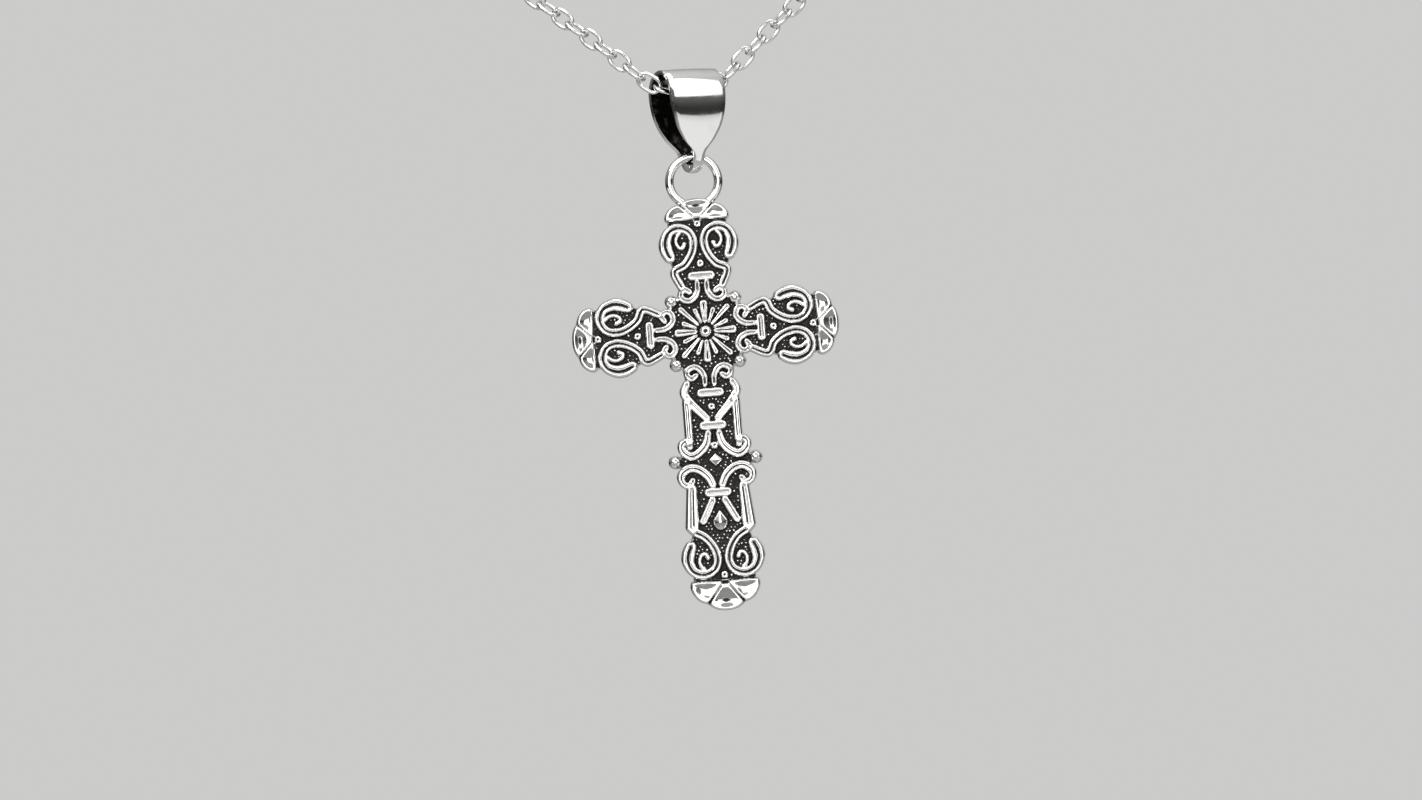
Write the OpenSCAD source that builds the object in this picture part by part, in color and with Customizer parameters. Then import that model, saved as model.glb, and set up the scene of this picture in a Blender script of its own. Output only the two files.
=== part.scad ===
// A silver cross pendant with cast scrollwork, hung by its ring and a folded bail on a whole neck chain.
// Millimetres. +X is to the viewer's right, -Y towards the viewer, +Z up, and the origin is at the nape.

/* [Cross] */
// Reach of a short arm, from the middle of the rosette to the tip of its fan
arm_reach = 14.7; // [14.4:0.1:18]
// Reach of the long lower arm, from the middle of the rosette to the tip of its fan
stem_reach = 30.8; // [29:0.1:36]
// Width over the two volutes that end a short arm
end_w = 9.1; // [8.4:0.1:10]
// Width over the two volutes that end the lower arm
stem_end_w = 9.6; // [8.6:0.1:10.6]
// Length of a pair of volutes with its foot, up to the edge of the fan
volute_len = 7.2; // [6.6:0.1:7.4]
// Depth of the fan on a short arm
fan_len = 2.45; // [2.1:0.05:3]
// Width of the fan on a short arm
fan_w = 7.3; // [6.4:0.1:8]
// Depth of the fan on the lower arm
stem_fan_len = 3.35; // [2.6:0.05:4]
// Width of the fan on the lower arm
stem_fan_w = 7.9; // [6.8:0.1:8.6]
// Width of the lower arm over its rails
stem_w = 6.4; // [5.8:0.1:7.2]
// Side of the square middle, over the centres of its corner beads
middle_w = 7; // [6.4:0.1:7.6]
// Thickness of the flat-backed plate
plate_t = 1.2; // [0.9:0.05:1.8]

/* [Relief] */
// Height of the ribs above the plate
rib_h = 0.45; // [0.3:0.05:0.8]
// Height of the rounded crown on top of the ribs
crown_h = 0.2; // [0.1:0.05:0.4]
// Step between the edge of a rib and its crown
crown_step = 0.16; // [0.08:0.01:0.2]
// Width of the bands of the volutes, rails and ribs
band_w = 0.9; // [0.7:0.05:1]
// Width of the bands of the small scrolls
scroll_band_w = 0.64; // [0.5:0.02:0.8]
// Length of the small scrolls beside the middle
scroll_len = 2.3; // [2:0.05:2.5]
// Width over a pair of small scrolls
scroll_w = 5.5; // [4.8:0.1:6]
// Length of the cross bars
bar_l = 3; // [2.4:0.1:3.3]
// Width of the cross bars
bar_w = 0.95; // [0.7:0.05:1.1]
// Diameter of the corner beads of the middle
corner_bead_d = 1.4; // [1.1:0.05:1.6]
// Diameter of the small beads on the arms
bead_d = 1; // [0.8:0.05:1.2]
// Diameter of the side beads of the lower arm
side_bead_d = 1.4; // [1.1:0.05:1.6]
// Diameter of the bead in the middle of the lower arm
middle_bead_d = 1.6; // [1.2:0.05:1.8]
// Diameter of the dome in the middle of the rosette
dome_d = 1.5; // [1.2:0.05:1.8]
// Depth of the middle of a bead or dome below the face of the plate
bead_sink = 0.1; // [0.05:0.05:0.2]
// Room between the dome and the feet of the rosette's petals
petal_gap = 0.35; // [0.25:0.05:0.5]
// Reach of the rosette's drops along the arms
drop_reach = 3.45; // [3:0.05:3.6]
// Width of those drops
drop_w = 0.9; // [0.7:0.05:1.1]
// Reach of the rosette's diagonal rays
ray_reach = 3.9; // [3.4:0.05:4.2]
// Width of those rays
ray_w = 0.62; // [0.5:0.02:0.8]
// Reach of the rosette's small petals
petal_reach = 2.8; // [2.4:0.05:3]
// Width of those petals
petal_w = 0.5; // [0.4:0.02:0.6]
// Width of the teardrop near the foot of the lower arm
tear_w = 1.9; // [1.5:0.1:2.2]
// Overlap of the small scrolls with the feet of the volutes
scroll_lap = 0.35; // [0.2:0.05:0.5]
// Overlap of the lower arm's panel with its small scrolls
panel_lap = 0.1; // [0:0.05:0.3]

/* [Ring] */
// Outer diameter of the ring soldered to the top arm
ring_d = 6.35; // [5.6:0.05:7.5]
// Wire of that ring
ring_wire = 0.96; // [0.8:0.02:1.1]
// How far the ring is let into the tip of the fan
ring_sink = 1.3; // [1:0.05:1.5]
// Height of the middle of the ring's wire above the flat back
ring_depth = 0.75; // [0.55:0.05:0.8]

/* [Bail] */
// Height of the bail
bail_h = 11.5; // [10.5:0.1:13]
// Width of the bail's strip at its head
bail_w = 6.7; // [6:0.1:7.4]
// Depth of the bail's head, front to back
bail_depth = 5.5; // [5.2:0.1:6.4]
// Thickness of the bail's strip
bail_t = 0.5; // [0.4:0.05:0.6]
// Radius of the hole in the bail's foot
foot_r = 1.4; // [1.35:0.05:1.6]
// Thickness of the bail's foot under the ring
foot_t = 0.85; // [0.6:0.05:1.2]
// Turn of the bail about the vertical, as it hangs
bail_turn = 28; // [0:1:35]
// Room between the ring and the bail's foot
foot_gap = 0.45; // [0.4:0.01:0.6]
// Height of the bail's inner top above the middle of the chain
head_room = 2; // [1.95:0.05:2.2]

/* [Chain] */
// Outer length of a link
link_l = 3.22; // [3.2:0.01:3.26]
// Outer width of a link
link_w = 2.2; // [2.1:0.05:2.4]
// Wire of a link
link_wire = 0.48; // [0.44:0.01:0.5]
// Distance from link to link along the chain
link_pitch = 2.1; // [2.06:0.01:2.12]
// Turn of the wide-lying links about the chain's own line
link_roll = 20; // [0:1:45]
// Outer length of the closing link at the nape
clasp_l = 10; // [8:0.5:14]
// Outer width of the closing link
clasp_w = 4.6; // [4:0.1:6]
// Wire of the closing link
clasp_wire = 0.9; // [0.8:0.02:0.92]

/* [Hidden] */
$fn = 48;

// Columns of the tables: along the arm, across the arm, width of the band.
ALONG = 0;
ACROSS = 1;
WIDE = 2;

// Volute: back from the fan as a share of volute_len, across as a share of half end_w, width of band_w.
VOLUTE = [
    [1.00, 0.50, 0.95],
    [0.77, 0.64, 1.00],
    [0.67, 0.38, 1.00],
    [0.50, 0.19, 1.00],
    [0.32, 0.13, 1.00],
    [0.17, 0.22, 1.00],
    [0.10, 0.46, 1.05],
    [0.16, 0.71, 1.15],
    [0.31, 0.84, 1.30],
    [0.48, 0.81, 1.35],
    [0.63, 0.70, 0.95],
];
// Curl inside a volute, with the same shares.
CURL = [
    [0.10, 0.48, 0.70],
    [0.22, 0.54, 0.60],
    [0.33, 0.61, 0.60],
    [0.43, 0.51, 0.60],
    [0.42, 0.36, 0.60],
    [0.33, 0.31, 0.60],
];
// Small scroll: out as a share of scroll_len, across as a share of half scroll_w, width of scroll_band_w.
SCROLL = [
    [1.00, 0.19, 0.85],
    [0.62, 0.20, 1.00],
    [0.30, 0.34, 1.00],
    [0.15, 0.58, 1.00],
    [0.27, 0.83, 1.00],
    [0.52, 0.88, 1.00],
    [0.70, 0.70, 1.00],
    [0.58, 0.53, 0.90],
];
// Lower arm between the small scrolls and the end volutes: along as a share of that stretch, across as a
// share of half stem_w, width of band_w.
STEM_VEE = [
    [0.00, 0.80, 0.90],
    [0.08, 0.88, 1.00],
    [0.24, 0.20, 0.90],
];
STEM_SCROLL_UP = [
    [0.345, 0.19, 0.80],
    [0.415, 0.29, 0.95],
    [0.470, 0.55, 1.00],
    [0.490, 0.84, 1.00],
    [0.452, 1.10, 0.95],
    [0.405, 1.12, 0.90],
    [0.385, 0.92, 0.80],
    [0.425, 0.84, 0.70],
];
STEM_SCROLL_DOWN = [
    [0.690, 0.17, 0.90],
    [0.632, 0.31, 1.00],
    [0.580, 0.62, 1.00],
    [0.572, 0.95, 1.00],
    [0.612, 1.21, 1.00],
    [0.665, 1.18, 0.95],
    [0.690, 0.98, 0.80],
    [0.655, 0.84, 0.70],
];
STEM_LOW_VEE = [
    [0.800, 0.22, 0.90],
    [0.935, 0.58, 0.85],
];
RAIL_UP = [
    [0.120, 0.85, 1.00],
    [0.385, 0.85, 1.00],
];
RAIL_DOWN = [
    [0.715, 0.90, 1.25],
    [0.970, 0.98, 1.60],
];
// Places of the bars and beads along the same stretch, and of the side beads as a share of half stem_w.
STEM_BARS = [0.065, 0.289, 0.745];
STEM_BEADS = [0.160, 0.425];
SIDE_BEADS_AT = 0.523;
SIDE_BEADS_OUT = 1.39;
// Ends of the teardrop along the same stretch, then its outline: a share of its length and of its half width.
TEAR_AT = [0.860, 1.010];
TEAR = [
    [0.00, 0.10],
    [0.49, 0.95],
    [0.72, 0.90],
    [0.94, 0.50],
    [1.00, 0.10],
];
// Places of a short arm's bar and beads and of the lower end's bead: back from the fan as a share of
// volute_len.
ARM_BAR = 0.85;
ARM_BEADS = [0.66, 0.05];
END_BEAD = 0.08;
// Turn of the rosette's small petals from the arms, and the width of a petal's foot as a share of its width.
PETAL_LEAN = 23;
PETAL_FOOT = 0.4;
// Fan: directions of the creases between its lobes, half the angle of a crease, how far a crease cuts into
// the rim as a share of the fan's radius, how far the hub lies inside the fan's edge as a share of its depth,
// and the foot of a lobe, from the hub, as shares of the fan's depth and width.
LOBES = [-93, -34, 34, 93];
CREASE = 3;
NOTCH = 0.07;
FAN_HUB = 0.1;
LOBE_FOOT = [0.16, 0.1];
// Plate of a short arm, and of both kinds of end: back from the fan as a share of volute_len, and its half
// width as a share of half the width over the volutes.
ARM_PLATE = [
    [0.90, 0.52],
];
END_PLATE = [
    [0.50, 0.80],
    [0.00, 0.70],
];
// Plate of the lower arm: along the stretch, and its half width as a share of half stem_w.
STEM_PLATE = [
    [0.00, 0.80],
    [0.36, 0.85],
    [0.42, 1.05],
    [0.50, 1.20],
    [0.55, 1.25],
    [0.62, 1.15],
    [0.68, 1.00],
    [0.74, 0.90],
    [1.00, 0.90],
];
// Bail, from its foot to its head: height as a share of bail_h, half width as a share of half bail_w.
BAIL_OUTLINE = [
    [0.00, 0.14],
    [0.08, 0.16],
    [0.16, 0.19],
    [0.22, 0.28],
    [0.32, 0.55],
    [0.46, 0.82],
    [0.63, 0.97],
    [0.81, 1.00],
    [1.00, 0.95],
];
// Right half of the chain's line, from the nape to the bail: out, forward, height, and the forward sway that
// a bail turned by ROUTE_TURN gives it. The left half is its mirror image with the sway reversed. The line
// ends in the bail, at drop_y and drop_z.
ROUTE = [
    [22, -5, -1, 0],
    [44, -20, -7, 0],
    [58, -46, -20, 0],
    [58, -76, -42, 0],
    [46, -101, -67, 0],
    [32, -112, -86, 0],
    [20, -118.6, -98.5, 0.3],
    [10.3, -122.4, -107.2, 1.2],
    [6, -123.6, -111.1, 1.7],
    [4.5, -123.85, -112.5, 1.65],
    [2.75, -124, -113.65, 1.3],
    [0.95, -124, -114, 0.5],
];
ROUTE_TURN = 28;
drop_y = -124;
drop_z = -114;

// Derived sizes
eps = 0.02;
curve_steps = 2;
ledge = 0.06;
root_depth = 0.2;
arm_fan_r = arm_reach - fan_len;
stem_fan_r = stem_reach - stem_fan_len;
scroll_r = arm_fan_r - volute_len - scroll_len + scroll_lap;
stem_scroll_r = middle_w / 2;
panel_r = stem_scroll_r + scroll_len - panel_lap;
panel_len = stem_fan_r - VOLUTE[1][ALONG] * volute_len - panel_r;
side_beads_r = panel_r + SIDE_BEADS_AT * panel_len;
side_beads_out = SIDE_BEADS_OUT * stem_w / 2;
ring_r = (ring_d - ring_wire) / 2;
ring_at = arm_reach - ring_sink + ring_d / 2;
bail_top_z = drop_z + head_room + bail_t;
bail_foot_z = bail_top_z - bail_h;
ring_top_z = bail_foot_z + foot_t + foot_gap + ring_wire / 2;
cross_z = ring_top_z - ring_r - ring_at;
cross_y = drop_y + ring_depth;

// Curves and bands
function flip(list) = [for (i = [len(list) - 1:-1:0]) list[i]];
function unit(v) = v / norm(v);
function clamped(list, i) = list[max(0, min(len(list) - 1, i))];
function blend(a, b, c, d, t) =
    0.5 * (2 * b + (c - a) * t + (2 * a - 5 * b + 4 * c - d) * t * t + (3 * b - a - 3 * c + d) * t * t * t);
function smooth(rows, steps) = [
    for (i = [0:len(rows) - 2]) for (k = [0:steps - 1])
        blend(clamped(rows, i - 1), rows[i], rows[i + 1], clamped(rows, i + 2), k / steps),
    rows[len(rows) - 1]
];
function both_edges(rows) = concat(rows, flip([for (p = rows) [p[ALONG], -p[ACROSS]]]));
function heading(rows, i) = unit([
    clamped(rows, i + 1)[ALONG] - clamped(rows, i - 1)[ALONG],
    clamped(rows, i + 1)[ACROSS] - clamped(rows, i - 1)[ACROSS]
]);
function edge_point(rows, i, side) =
    let (h = heading(rows, i), w = side * rows[i][WIDE] / 2)
    [rows[i][ALONG] - w * h[ACROSS], rows[i][ACROSS] + w * h[ALONG]];

module band(rows, steps = curve_steps) {
    line = smooth(rows, steps);
    last = len(line) - 1;
    for (i = [0:last - 1])
        polygon([edge_point(line, i, 1), edge_point(line, i + 1, 1),
            edge_point(line, i + 1, -1), edge_point(line, i, -1)]);
    for (i = [0, last])
        translate([line[i][ALONG], line[i][ACROSS]]) circle(d = line[i][WIDE], $fn = 10);
}

module both_sides() {
    children();
    mirror([0, 1]) children();
}

function scaled(rows, start, length, half, width) =
    [for (r = rows) [start + r[ALONG] * length, r[ACROSS] * half, r[WIDE] * width]];

// Shapes of one arm, drawn along +X from the middle of the rosette
module volute(fan_r, half, first = 0) {
    rows = [for (i = [first:len(VOLUTE) - 1]) VOLUTE[i]];
    band(scaled(rows, fan_r, -volute_len, half, band_w));
    band(scaled(CURL, fan_r, -volute_len, half, band_w));
}

module small_scroll(start) {
    band(scaled(SCROLL, start, scroll_len, scroll_w / 2, scroll_band_w));
}

module bar(at) {
    band([[at, -(bar_l - bar_w) / 2, bar_w], [at, (bar_l - bar_w) / 2, bar_w]], 1);
}

function fan_hub(fan_r, length) = fan_r - FAN_HUB * length;
function fan_long(length) = (1 + FAN_HUB) * length;

module lobe(fan_r, length, width, from, to) {
    middle = (from + to) / 2;
    half_span = (to - from) / 2 - CREASE;
    hub = fan_hub(fan_r, length);
    rim = [for (a = [-1:0.25:1])
        let (turn = middle + a * half_span, reach = 1 - NOTCH * pow(abs(a), 3))
        [hub + fan_long(length) * reach * cos(turn), width / 2 * reach * sin(turn)]];
    inner = [hub + LOBE_FOOT[0] * length * cos(middle), LOBE_FOOT[1] * width * sin(middle)];
    polygon(concat([inner], rim));
}

module fan(fan_r, length, width) {
    for (i = [0:len(LOBES) - 2]) lobe(fan_r, length, width, LOBES[i], LOBES[i + 1]);
}

module short_arm_relief() {
    fan(arm_fan_r, fan_len, fan_w);
    bar(arm_fan_r - ARM_BAR * volute_len);
    both_sides() {
        volute(arm_fan_r, end_w / 2);
        small_scroll(scroll_r);
    }
}

module stem_band(rows, steps = curve_steps) {
    band(scaled(rows, panel_r, panel_len, stem_w / 2, band_w), steps);
}

module teardrop() {
    reach = [for (at = TEAR_AT) panel_r + at * panel_len];
    length = reach[1] - reach[0];
    polygon(both_edges([for (r = TEAR) [reach[0] + r[ALONG] * length, r[ACROSS] * tear_w / 2]]));
}

module stem_relief() {
    fan(stem_fan_r, stem_fan_len, stem_fan_w);
    for (at = STEM_BARS) bar(panel_r + at * panel_len);
    teardrop();
    both_sides() {
        volute(stem_fan_r, stem_end_w / 2, 1);
        small_scroll(stem_scroll_r);
        stem_band(STEM_VEE);
        stem_band(STEM_SCROLL_UP);
        stem_band(STEM_SCROLL_DOWN);
        stem_band(STEM_LOW_VEE, 1);
        stem_band(RAIL_UP, 1);
        stem_band(RAIL_DOWN, 1);
    }
}

// Rosette: drops on the axes, rays on the diagonals and small petals between
module petal(from, to, width) {
    band([[from, 0, PETAL_FOOT * width], [to - width / 2, 0, width]], 1);
}

module rosette() {
    inner = dome_d / 2 + petal_gap;
    for (turn = [0:90:270]) {
        rotate(turn) petal(inner, drop_reach, drop_w);
        rotate(turn + 45) petal(inner, ray_reach, ray_w);
        for (side = [-1, 1]) rotate(turn + side * PETAL_LEAN) petal(inner, petal_reach, petal_w);
    }
}

module relief_outline() {
    rosette();
    for (turn = [0, 90, 180]) rotate(turn) short_arm_relief();
    rotate(-90) stem_relief();
}

// Plate: the filled outline that all the relief stands on
function end_plate(rows, fan_r, half) = [for (r = rows) [fan_r - r[ALONG] * volute_len, r[ACROSS] * half]];

module arm_body() {
    sides = end_plate(concat(ARM_PLATE, END_PLATE), arm_fan_r, end_w / 2);
    polygon(both_edges(concat([[0, middle_w / 2]], sides)));
}

module stem_body() {
    sides = [for (r = STEM_PLATE) [panel_r + r[ALONG] * panel_len, r[ACROSS] * stem_w / 2]];
    polygon(both_edges(concat([[0, middle_w / 2]], sides, end_plate(END_PLATE, stem_fan_r, stem_end_w / 2))));
}

module fan_body(fan_r, length, width) {
    hub = fan_hub(fan_r, length);
    reach = fan_long(length) * (1 - NOTCH);
    polygon([for (turn = [-90:15:90]) [hub + reach * cos(turn), (1 - NOTCH) * width / 2 * sin(turn)]]);
}

module plate_outline() {
    offset(delta = ledge) {
        relief_outline();
        square(middle_w, center = true);
        for (turn = [0, 90, 180]) rotate(turn) {
            arm_body();
            fan_body(arm_fan_r, fan_len, fan_w);
        }
        rotate(-90) {
            stem_body();
            fan_body(stem_fan_r, stem_fan_len, stem_fan_w);
        }
        for (x = [-1, 1], y = [-1, 1]) translate([x, y] * middle_w / 2) circle(d = corner_bead_d, $fn = 20);
        for (x = [-1, 1]) translate([x * side_beads_out, -side_beads_r]) circle(d = side_bead_d, $fn = 20);
    }
}

module bead(x, y, d) {
    translate([x, y, plate_t - bead_sink]) sphere(d = d);
}

module beads() {
    bead(0, 0, dome_d);
    for (x = [-1, 1], y = [-1, 1]) bead(x * middle_w / 2, y * middle_w / 2, corner_bead_d);
    for (turn = [0, 90, 180]) rotate(turn) {
        for (at = ARM_BEADS) bead(arm_fan_r - at * volute_len, 0, bead_d);
    }
    rotate(-90) {
        for (at = STEM_BEADS) bead(panel_r + at * panel_len, 0, bead_d);
        bead(stem_fan_r - END_BEAD * volute_len, 0, bead_d);
        bead(side_beads_r, 0, middle_bead_d);
        for (side = [-1, 1]) bead(side_beads_r, side * side_beads_out, side_bead_d);
    }
}

module ring() {
    translate([0, ring_at, ring_depth]) rotate_extrude() translate([ring_r, 0]) circle(d = ring_wire);
}

module cross() color("silver") {
    translate([0, cross_y, cross_z]) rotate([90, 0, 0]) {
        linear_extrude(plate_t) plate_outline();
        translate([0, 0, plate_t - root_depth]) linear_extrude(rib_h + root_depth)
            offset(delta = eps) relief_outline();
        translate([0, 0, plate_t + rib_h - root_depth]) linear_extrude(crown_h + root_depth)
            offset(delta = -crown_step) relief_outline();
        beads();
        ring();
    }
}

// Bail: a strip bent into a drop-shaped loop, cut to its tapered outline
module loop_core(low_z, low_r, high_z, high_r, length) {
    lean = asin((high_r - low_r) / (high_z - low_z));
    flank = [for (end = [[low_z, low_r], [high_z, high_r]])
        [(end[1] - eps) * cos(lean), end[0] - (end[1] - eps) * sin(lean)]];
    translate([0, 0, low_z]) rotate([0, 90, 0]) cylinder(r = low_r, h = length, center = true);
    translate([0, 0, high_z]) rotate([0, 90, 0]) cylinder(r = high_r, h = length, center = true);
    rotate([90, 0, 90]) linear_extrude(length, center = true)
        polygon([[-flank[0][0], flank[0][1]], flank[0], flank[1], [-flank[1][0], flank[1][1]]]);
}

module bail() color("gainsboro") {
    head_r = bail_depth / 2;
    head_z = bail_h - head_r;
    outline = smooth([for (r = BAIL_OUTLINE) [r[1] * bail_w / 2, r[0] * bail_h]], 2);
    translate([0, drop_y, bail_foot_z]) rotate([0, 0, bail_turn]) intersection() {
        difference() {
            loop_core(foot_r + bail_t, foot_r + bail_t, head_z, head_r, bail_w);
            loop_core(foot_t + foot_r, foot_r, head_z, head_r - bail_t, 2 * bail_w);
        }
        rotate([90, 0, 0]) linear_extrude(2 * bail_depth, center = true)
            polygon(concat(outline, flip([for (p = outline) [-p[0], p[1]]])));
    }
}

// Chain: oval links on the loop's line, each lying on the chord between two neighbouring joints
clasp_reach = clasp_l / 2 - clasp_wire / 2;
hook = (link_l - link_wire - link_pitch) / 2;
nape_x = clasp_reach - (clasp_wire - link_wire) / 2 - hook;
function half_line(side) = [
    [side * nape_x, 0, 0],
    for (r = ROUTE) [side * r[0], r[1] + side * r[3] * tan(bail_turn) / tan(ROUTE_TURN), r[2]]
];
loop_line = smooth(concat(half_line(-1), [[0, drop_y, drop_z]], flip(half_line(1))), 6);
run = [for (i = 0, s = 0; i < len(loop_line); s = s + norm(clamped(loop_line, i + 1) - loop_line[i]), i = i + 1)
    s];
loop_len = run[len(run) - 1];
half_links = round((loop_len / link_pitch - 1) / 2);
link_count = 2 * half_links + 1;
function along(axis) = [for (i = [0:len(run) - 1]) [run[i], loop_line[i][axis]]];
line_x = along(0);
line_y = along(1);
line_z = along(2);
function joint(i) =
    let (s = loop_len * i / link_count) [lookup(s, line_x), lookup(s, line_y), lookup(s, line_z)];
joints = [for (i = [0:link_count]) joint(i)];
neck_middle = [0, -60, 0];

module oval(length, width, wire) {
    mean_r = (width - wire) / 2;
    straight = length - width;
    for (end = [-1, 1]) {
        translate([end * straight / 2, 0, 0]) rotate([0, 0, -end * 90]) rotate_extrude(angle = 180)
            translate([mean_r, 0]) circle(d = wire);
        translate([0, end * mean_r, 0]) rotate([0, 90, 0]) cylinder(d = wire, h = straight, center = true);
    }
}

module on_line(from, to, quarter) {
    ahead = unit(to - from);
    middle = (from + to) / 2;
    outward = [middle[0] - neck_middle[0], middle[1] - neck_middle[1], 0];
    face = unit(outward - (outward * ahead) * ahead);
    across = cross(face, ahead);
    multmatrix([
        [ahead[0], across[0], face[0], middle[0]],
        [ahead[1], across[1], face[1], middle[1]],
        [ahead[2], across[2], face[2], middle[2]],
        [0, 0, 0, 1]
    ]) rotate([link_roll + 90 * quarter, 0, 0]) children();
}

module links(first, last) {
    for (i = [first:last]) on_line(joints[i], joints[i + 1], abs(i - half_links) % 2)
        oval(link_l, link_w, link_wire);
}

module chain_left() color("gainsboro") links(0, half_links - 1);

module chain_right() color("gainsboro") links(half_links, link_count - 1);

module clasp() color("gainsboro") on_line([nape_x, 0, 0], [-nape_x, 0, 0], (half_links + 1) % 2)
    oval(clasp_l, clasp_w, clasp_wire);

cross();
bail();
chain_left();
chain_right();
clasp();
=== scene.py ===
"""The looks of a silver cross pendant: cast relief, soldered ring, folded bail and cable chain.

Lengths are in millimetres unless a comment says otherwise. The relief is worked out on the cross's own
face, x across and y up from the middle of the rosette, and is then stood up on the frame, where +X is the
viewer's right, -Y is towards the viewer and +Z is up.
"""

import math

import bmesh
import bpy
import numpy as np
from mathutils import Matrix, Vector


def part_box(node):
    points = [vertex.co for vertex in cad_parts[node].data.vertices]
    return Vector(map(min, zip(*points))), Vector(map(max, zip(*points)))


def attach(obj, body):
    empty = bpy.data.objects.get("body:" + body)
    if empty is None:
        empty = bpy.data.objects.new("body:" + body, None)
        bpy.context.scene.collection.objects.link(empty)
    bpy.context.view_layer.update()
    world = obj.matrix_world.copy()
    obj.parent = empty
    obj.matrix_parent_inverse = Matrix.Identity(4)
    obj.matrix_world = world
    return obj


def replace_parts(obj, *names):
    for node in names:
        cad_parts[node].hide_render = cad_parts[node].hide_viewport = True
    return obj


MM = 0.001

# Cross: the sizes that drive the solid casting in the frame too
ARM_REACH = 14.7
STEM_REACH = 30.8
END_W = 9.1
STEM_END_W = 9.6
VOLUTE_LEN = 7.2
FAN_LEN = 2.45
FAN_W = 7.3
STEM_FAN_LEN = 3.35
STEM_FAN_W = 7.9
STEM_W = 6.4
MIDDLE_W = 7.0
PLATE_T = 1.2
RELIEF_H = 0.65
BAND_W = 0.9
SCROLL_BAND_W = 0.64
SCROLL_LEN = 2.3
SCROLL_W = 5.5
BAR_L = 3.0
BAR_W = 0.95
CORNER_BEAD_D = 1.4
BEAD_D = 1.0
SIDE_BEAD_D = 1.4
DIAMOND_D = 1.6
DOME_D = 1.5
BEAD_SINK = 0.1
PETAL_GAP = 0.35
TEAR_W = 1.9
SCROLL_LAP = 0.35
PANEL_LAP = 0.1
LEDGE = 0.06
RING_D = 6.35
RING_WIRE = 0.96
RING_SINK = 1.3
RING_DEPTH = 0.75

# Lines of the relief: along, across and width, as shares of the sizes that the functions below give them
VOLUTE = [
    (1.00, 0.50, 0.95), (0.77, 0.64, 1.00), (0.67, 0.38, 1.00), (0.50, 0.19, 1.00), (0.32, 0.13, 1.00),
    (0.17, 0.22, 1.00), (0.10, 0.46, 1.05), (0.155, 0.70, 1.22), (0.30, 0.81, 1.46), (0.43, 0.795, 1.55),
    (0.54, 0.725, 1.35),
]
CURL = [
    (0.185, 0.45, 0.45), (0.24, 0.52, 0.42), (0.32, 0.545, 0.42), (0.40, 0.49, 0.42), (0.415, 0.40, 0.44),
    (0.35, 0.35, 0.52),
]
SCROLL = [
    (1.00, 0.19, 0.85), (0.62, 0.20, 1.00), (0.30, 0.34, 1.00), (0.15, 0.58, 1.00), (0.27, 0.83, 1.00),
    (0.52, 0.88, 1.00), (0.70, 0.70, 1.00), (0.58, 0.53, 0.90),
]
STEM_VEE = [(0.00, 0.80, 0.90), (0.08, 0.88, 1.00), (0.24, 0.20, 0.90)]
STEM_SCROLL_UP = [
    (0.345, 0.19, 0.80), (0.415, 0.29, 0.95), (0.470, 0.55, 1.00), (0.490, 0.84, 1.00), (0.452, 1.10, 0.95),
    (0.405, 1.12, 0.90), (0.385, 0.92, 0.80), (0.425, 0.84, 0.70),
]
STEM_SCROLL_DOWN = [
    (0.690, 0.17, 0.90), (0.632, 0.31, 1.00), (0.580, 0.62, 1.00), (0.572, 0.95, 1.00), (0.612, 1.21, 1.00),
    (0.665, 1.18, 0.95), (0.690, 0.98, 0.80), (0.655, 0.84, 0.70),
]
STEM_LOW_VEE = [(0.800, 0.22, 0.90), (0.935, 0.58, 0.85)]
RAIL_UP = [(0.120, 0.85, 1.00), (0.385, 0.85, 1.00)]
RAIL_DOWN = [(0.715, 0.90, 1.25), (0.970, 0.98, 1.60)]
# Depth of a groove, and how black it is
VOLUTE_GROOVE = (0.36, 1)
SCROLL_GROOVE = (0.22, 0.75)
BAR_GROOVE = (0.2, 0.5)
# Line, steps of its curve, depth of its groove and how black that is
STEM_LINES = (
    (STEM_VEE, 6, 0.26, 0.6), (STEM_SCROLL_UP, 6, 0.3, 0.8), (STEM_SCROLL_DOWN, 6, 0.3, 0.8),
    (STEM_LOW_VEE, 1, 0.2, 0.5), (RAIL_UP, 1, 0.1, 0.25), (RAIL_DOWN, 1, 0.15, 0.45),
)
STEM_BARS = (0.065, 0.289, 0.745)
STEM_BEADS = (0.160, 0.425)
SIDE_BEADS_AT, SIDE_BEADS_OUT = 0.523, 1.39
TEAR_AT = (0.860, 1.010)
TEAR = [(0.00, 0.10), (0.49, 0.95), (0.72, 0.90), (0.94, 0.50), (1.00, 0.10)]
DIAMOND = [
    (0, -1.15), (0.55, -0.5), (1.05, 0), (0.55, 0.5), (0, 1.15), (-0.55, 0.5), (-1.05, 0), (-0.55, -0.5),
]
DIAMOND_RISE = 0.42
ARM_BAR = 0.85
ARM_BEADS = (0.66, 0.05)
END_BEAD = 0.08
# Petals in each quarter of the rosette: turn in degrees, reach, width and depth of the groove
PETALS = ((0, 3.45, 0.9, 0.3), (45, 3.9, 0.62, 0.26), (-23, 2.8, 0.5, 0.2), (23, 2.8, 0.5, 0.2))
PETAL_FOOT = 0.4
# Fan: the lobes' sides and the slit left at each, in degrees, then the notch of the rim, the lobes' foot and
# the depth and blackening of the flutes
LOBES = (-93, -34, 34, 93)
SLIT = 2.6
NOTCH = 0.07
LOBE_FOOT = 0.14
FLUTE, FLUTE_BLACK = 0.24, 0.75
# Outlines of the plate under the relief: along and across, as shares
ARM_PLATE = [(0.90, 0.52)]
END_PLATE = [(0.50, 0.80), (0.00, 0.70)]
STEM_PLATE = [
    (0.00, 0.80), (0.36, 0.85), (0.42, 1.05), (0.50, 1.20), (0.55, 1.25), (0.62, 1.15), (0.68, 1.00),
    (0.74, 0.90), (1.00, 0.90),
]

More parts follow.
